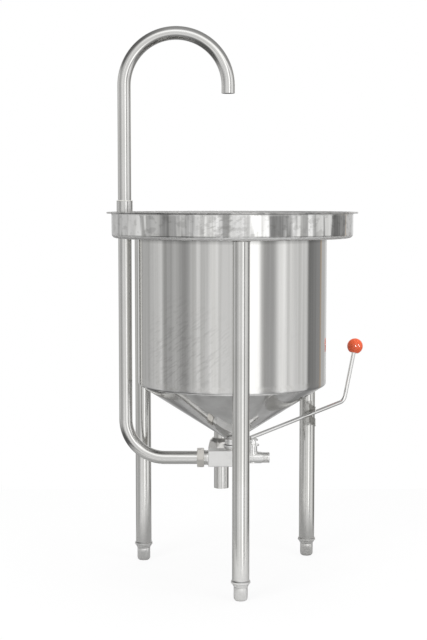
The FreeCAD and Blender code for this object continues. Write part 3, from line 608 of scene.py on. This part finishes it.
# width of the broken edges of machined or cast pieces, and the finish of those that differ from their slot's
brokenEdges = {
    "mixing_block": 0.0012, "valve_body": 0.0007, "union_nut": 0.0010, "drain_union_nut": 0.0012,
    "neck_lock_nut": 0.0006, "packing_nut": 0.0004, "lever_hub": 0.0005, "lever_guide": 0.0003,
    "outlet_neck": 0.0004, "spout_sleeve": 0.0011, "upper_bush": 0.0005, "riser_ferrule": 0.0006,
}
easedFinish = {"valve_body": "bright_cast", "lever_hub": "bright_cast", "packing_nut": "bright_cast",
               "outlet_neck": "bright_cast", "neck_lock_nut": "bright_cast", "drain_union_nut": "bright_nut"}


def breakEdges(nodeName, width):
    piece = copySolid(nodeName, nodeName + "_eased")
    bpy.ops.mesh.dissolve_limited(angle_limit=math.radians(1.0))
    bpy.ops.object.mode_set(mode="OBJECT")
    applyModifier(piece, "BEVEL", width=width, segments=2, limit_method="ANGLE",
                  angle_limit=math.radians(32), use_clamp_overlap=True)
    settle(piece, 40)
    applyModifier(piece, "WEIGHTED_NORMAL", keep_sharp=True)
    body = next(b for b, rows in frame["record"]["behaviour"]["bodies"].items() if nodeName in rows)
    dress(piece, body, slotOf[nodeName], [nodeName], finishes[easedFinish.get(nodeName, slotOf[nodeName])])


for nodeName, width in brokenEdges.items():
    breakEdges(nodeName, width)
print("edges broken:", len(brokenEdges))


# Threads, welds, screws and the knob

def middleOf(nodeName):
    low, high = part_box(nodeName)
    return (low + high) / 2


# shares of the pitch at which a thread's root and crest start and end
thread = {"rootFrom": 0.2, "rootTo": 0.4, "crestFrom": 0.75, "crestTo": 0.98}


# ridges (radius, height) of a thread from one height up to another
def threadRings(crest, root, pitch, start, end):
    rings = []
    for k in range(int((end - start) / pitch)):
        base = start + k * pitch
        rings += [(root, base + pitch * thread["rootFrom"]), (root, base + pitch * thread["rootTo"]),
                  (crest, base + pitch * thread["crestFrom"]), (crest, base + pitch * thread["crestTo"])]
    return rings


# lays a turned stub level along the node's axis, its zero height at the given place, and dresses it
def layStub(piece, nodeName, startX):
    piece.rotation_euler = (0, math.radians(90), 0)
    piece.location = (startX, middleOf(nodeName).y, middleOf(nodeName).z)
    settle(piece, 25)
    dress(piece, "frame", slotOf[nodeName], [nodeName], finishes["bright_cast"])


inlet = {"rootLength": 0.009, "rootRadius": 0.0105, "bore": 0.0085, "plain": 0.0035, "threadRoot": 0.0121,
         "pitch": 0.00181, "chamfer": 0.0008}


def makeInlet():
    low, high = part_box("inlet_nipple")
    crest = (high.z - low.z) / 2
    length = high.x - low.x - inlet["rootLength"]
    rings = [(inlet["bore"], -inlet["rootLength"]), (inlet["rootRadius"], -inlet["rootLength"]),
             (inlet["rootRadius"], 0.0), (crest, 0.0), (crest, inlet["plain"])]
    rings += threadRings(crest, inlet["threadRoot"], inlet["pitch"], inlet["plain"],
                         length - inlet["chamfer"])
    rings += [(inlet["threadRoot"], length), (inlet["bore"], length)]
    layStub(turnPiece("inletStub", rings, 64), "inlet_nipple", low.x + inlet["rootLength"])


nipple = {"rootLength": 0.012, "rootRadius": 0.015, "bore": 0.0125, "threadRoot": 0.0174, "pitch": 0.0016,
          "shoulder": 0.0015}


def makeUnionNipple():
    low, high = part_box("union_nipple")
    crest = (high.z - low.z) / 2
    length = high.x - low.x - nipple["rootLength"]
    rings = [(nipple["bore"], 0.0), (nipple["threadRoot"], 0.0)]
    rings += threadRings(crest, nipple["threadRoot"], nipple["pitch"], 0.0, length - nipple["shoulder"])
    rings += [(crest, length), (nipple["rootRadius"], length), (nipple["rootRadius"], high.x - low.x),
              (nipple["bore"], high.x - low.x)]
    layStub(turnPiece("unionStub", rings, 64), "union_nipple", low.x)


foot = {"height": 0.0315, "studRadius": 0.006, "threadRoot": 0.0052, "pitch": 0.00175, "edge": 0.0005}


def makeFoot(side):
    nodeName = "foot_" + side
    middle = middleOf(nodeName)
    low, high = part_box(nodeName)
    piece = copySolid(nodeName, "screwFoot_" + side)
    pickVertices(piece, lambda spot: spot.z > low.z + foot["height"] + 0.001)
    bpy.ops.mesh.delete(type="VERT")
    pickVertices(piece, lambda spot: spot.z > low.z + foot["height"] - 0.0001
                 and math.hypot(spot.x - middle.x, spot.y - middle.y) < foot["studRadius"] + 0.0005)
    bpy.ops.mesh.edge_face_add()
    bpy.ops.mesh.select_all(action="SELECT")
    bpy.ops.mesh.dissolve_limited(angle_limit=math.radians(1.0))
    bpy.ops.object.mode_set(mode="OBJECT")
    applyModifier(piece, "BEVEL", width=foot["edge"], segments=2, limit_method="ANGLE",
                  angle_limit=math.radians(40), use_clamp_overlap=True)
    settle(piece, 35)
    top = high.z - low.z
    rings = [(foot["studRadius"], foot["height"] - 0.001), (foot["studRadius"], foot["height"] + 0.0005)]
    rings += threadRings(foot["studRadius"], foot["threadRoot"], foot["pitch"], foot["height"] + 0.0005,
                         top - 0.001)
    rings += [(foot["threadRoot"], top)]
    stud = turnPiece("stud_" + side, rings, 24, "face")
    openMesh()
    pickVertices(stud, lambda spot: spot.z > top - 0.0001)
    bpy.ops.mesh.edge_face_add()
    closeMesh()
    stud.location = (middle.x, middle.y, low.z)
    settle(stud, 25)
    joinPieces([piece, stud])
    dress(piece, nodeName, slotOf[nodeName], [nodeName])


weld = {"bead": 0.0017, "ripple": 0.0011, "rippleSize": 0.004, "step": 0.0022}
# each run: (node whose upright axis it runs round, its height, radius of the run)
weldRuns = {
    "barrelWeld": ("cone_bottom", troughFloor, 0.2262),
    "legWeld_front": ("leg_front", troughFloor - 0.0006, 0.0198),
    "legWeld_right": ("leg_right", troughFloor - 0.0006, 0.0198),
    "legWeld_left": ("leg_left", troughFloor - 0.0006, 0.0198),
    "sleeveWeldBelow": ("spout_sleeve", troughFloor, 0.0165),
    "sleeveWeldAbove": ("spout_sleeve", troughFloor + 0.0016, 0.0196),
    "drainWeld": ("drain_tail", troughFloor, 0.0197),
    "neckWeld": ("outlet_neck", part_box("outlet_neck")[1].z, 0.0168),
}


def makeWeld(name, around, height, radius):
    middle = middleOf(around)
    startFresh()
    bpy.ops.mesh.primitive_circle_add(vertices=10, radius=weld["bead"], rotation=(math.radians(90), 0, 0),
                                      location=(middle.x + radius, middle.y, height))
    piece = bpy.context.active_object
    piece.name = name
    openMesh()
    steps = max(48, int(2 * math.pi * radius / weld["step"]))
    bpy.ops.mesh.spin(steps=steps, angle=2 * math.pi, center=(middle.x, middle.y, height), axis=(0, 0, 1))
    closeMesh(0.00002)
    settle(piece, 60)
    cloud = bpy.data.textures.new(name + "Ripple", "CLOUDS")
    cloud.noise_scale = weld["rippleSize"]
    applyModifier(piece, "DISPLACE", texture=cloud, strength=weld["ripple"], texture_coords="LOCAL")
    dress(piece, "frame", "cast_steel", finish=finishes["weld_bead"])


screw = {"shank": 0.0019, "shankLength": 0.0023, "head": 0.0034, "crown": 0.0015, "slot": 0.0008,
         "slotLength": 0.0038, "slotDepth": 0.0009, "slotTurn": 25}


def makeScrews():
    low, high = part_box("guide_screws")
    spots = [point.co for point in frame["nodes"]["guide_screws"].data.vertices]
    wide = [spot.y for spot in spots if abs(spot.x - middleOf("guide_screws").x) > screw["shank"] + 0.0006]
    facing = -1 if sum(wide) / len(wide) < middleOf("guide_screws").y else 1
    seat = max(wide) if facing < 0 else min(wide)
    head, crown = screw["head"], screw["crown"]
    made = []
    for height in (low.z + head, high.z - head):
        rings = [(screw["shank"], -screw["shankLength"]), (screw["shank"], 0.0), (head * 0.96, 0.0),
                 (head, 0.0003), (head * 0.97, crown * 0.55), (head * 0.80, crown * 0.84),
                 (head * 0.45, crown * 0.97), (tip, crown)]
        piece = turnPiece("panScrew", rings, 32, "face")
        for turn in (0, 90):
            startFresh()
            bpy.ops.mesh.primitive_cube_add(size=1, location=(0, 0, crown),
                                            rotation=(0, 0, math.radians(turn + screw["slotTurn"])),
                                            scale=(screw["slotLength"], screw["slot"],
                                                   screw["slotDepth"] * 2))
            cutter = bpy.context.active_object
            applyModifier(piece, "BOOLEAN", operation="DIFFERENCE", object=cutter, solver="EXACT")
            bpy.data.objects.remove(cutter)
        piece.rotation_euler = (math.radians(-90 * facing), 0, 0)
        piece.location = (middleOf("guide_screws").x, seat, height)
        settle(piece, 30)
        made.append(piece)
    joinPieces(made)
    made[0].name = "panScrews"
    dress(made[0], "frame", slotOf["guide_screws"], ["guide_screws"])


knob = {"radius": 0.020, "flat": 0.003, "hole": 0.0051, "holeDepth": 0.0215, "rings": 40, "sides": 96,
        "bush": 0.0068, "bushHeight": 0.0012, "bushHole": 0.00505}


# the ball's axis: its flat is the largest plane of the node
def knobPlace():
    mesh = frame["nodes"]["lever_knob"].data
    planes = {}
    for face in mesh.polygons:
        key = tuple(round(part, 2) for part in face.normal)
        planes.setdefault(key, []).append(face)
    flat = max(planes.values(), key=lambda faces: sum(face.area for face in faces))
    down = flat[0].normal.copy()
    reach = max(mesh.vertices[i].co.dot(down) for face in flat for i in face.vertices)
    rim = {tuple(round(part, 6) for part in mesh.vertices[i].co) for face in flat for i in face.vertices
           if mesh.vertices[i].co.dot(down) > reach - 0.0001}
    middle = sum((Vector(spot) for spot in rim), Vector()) / len(rim)
    return middle, -down


def makeKnob():
    flatMiddle, up = knobPlace()
    radius, cut = knob["radius"], knob["radius"] - knob["flat"]
    first = math.asin(-cut / radius)
    rings = [(knob["hole"], knob["holeDepth"] - cut), (knob["hole"], -cut)]
    for i in range(knob["rings"]):
        angle = first + (math.pi / 2 - first) * i / knob["rings"]
        rings.append((radius * math.cos(angle), radius * math.sin(angle)))
    rings.append((tip, radius))
    ball = turnPiece("ballKnob", rings, knob["sides"], "face")
    outside, inside, lowEnd = knob["bush"], knob["bushHole"], -cut - knob["bushHeight"]
    bushRings = [(inside, lowEnd), (outside * 0.94, lowEnd), (outside, -cut - knob["bushHeight"] * 0.7),
                 (outside, -cut), (inside, -cut)]
    bush = turnPiece("knobBush", bushRings, 48)
    for piece, slotName, replaced in ((ball, "red_knob", ["lever_knob"]), (bush, slotOf["lever_rod"], [])):
        piece.rotation_euler = up.to_track_quat("Z", "Y").to_euler()
        piece.location = flatMiddle + up * cut
        settle(piece, 35)
        dress(piece, "lever", slotName, replaced)


# three small lamps that shine on the ball alone, for the glints on its front
glints = {"size": 0.12, "reach": 0.6, "rise": 9, "turns": ((-33, 2.0), (12, 3.5), (57, 3.0))}


def makeGlints():
    shone = bpy.data.collections.new("ballOnly")
    shone.objects.link(bpy.data.objects["ballKnob"])
    middle = middleOf("lever_knob")
    for turn, power in glints["turns"]:
        across, rise = math.radians(turn), math.radians(glints["rise"])
        level = math.cos(rise)
        way = Vector((math.sin(across) * level, -math.cos(across) * level, math.sin(rise)))
        lamp = makeLamp("glint", glints["size"], power, middle + way * glints["reach"], middle)
        lamp.data.shape = "DISK"
        lamp.visible_diffuse = False
        lamp.light_linking.receiver_collection = shone


makeInlet()
makeUnionNipple()
for side in ("front", "right", "left"):
    makeFoot(side)
for name, (around, height, radius) in weldRuns.items():
    makeWeld(name, around, height, radius)
makeScrews()
makeKnob()
makeGlints()
print("threads, welds, screws and knob ready")
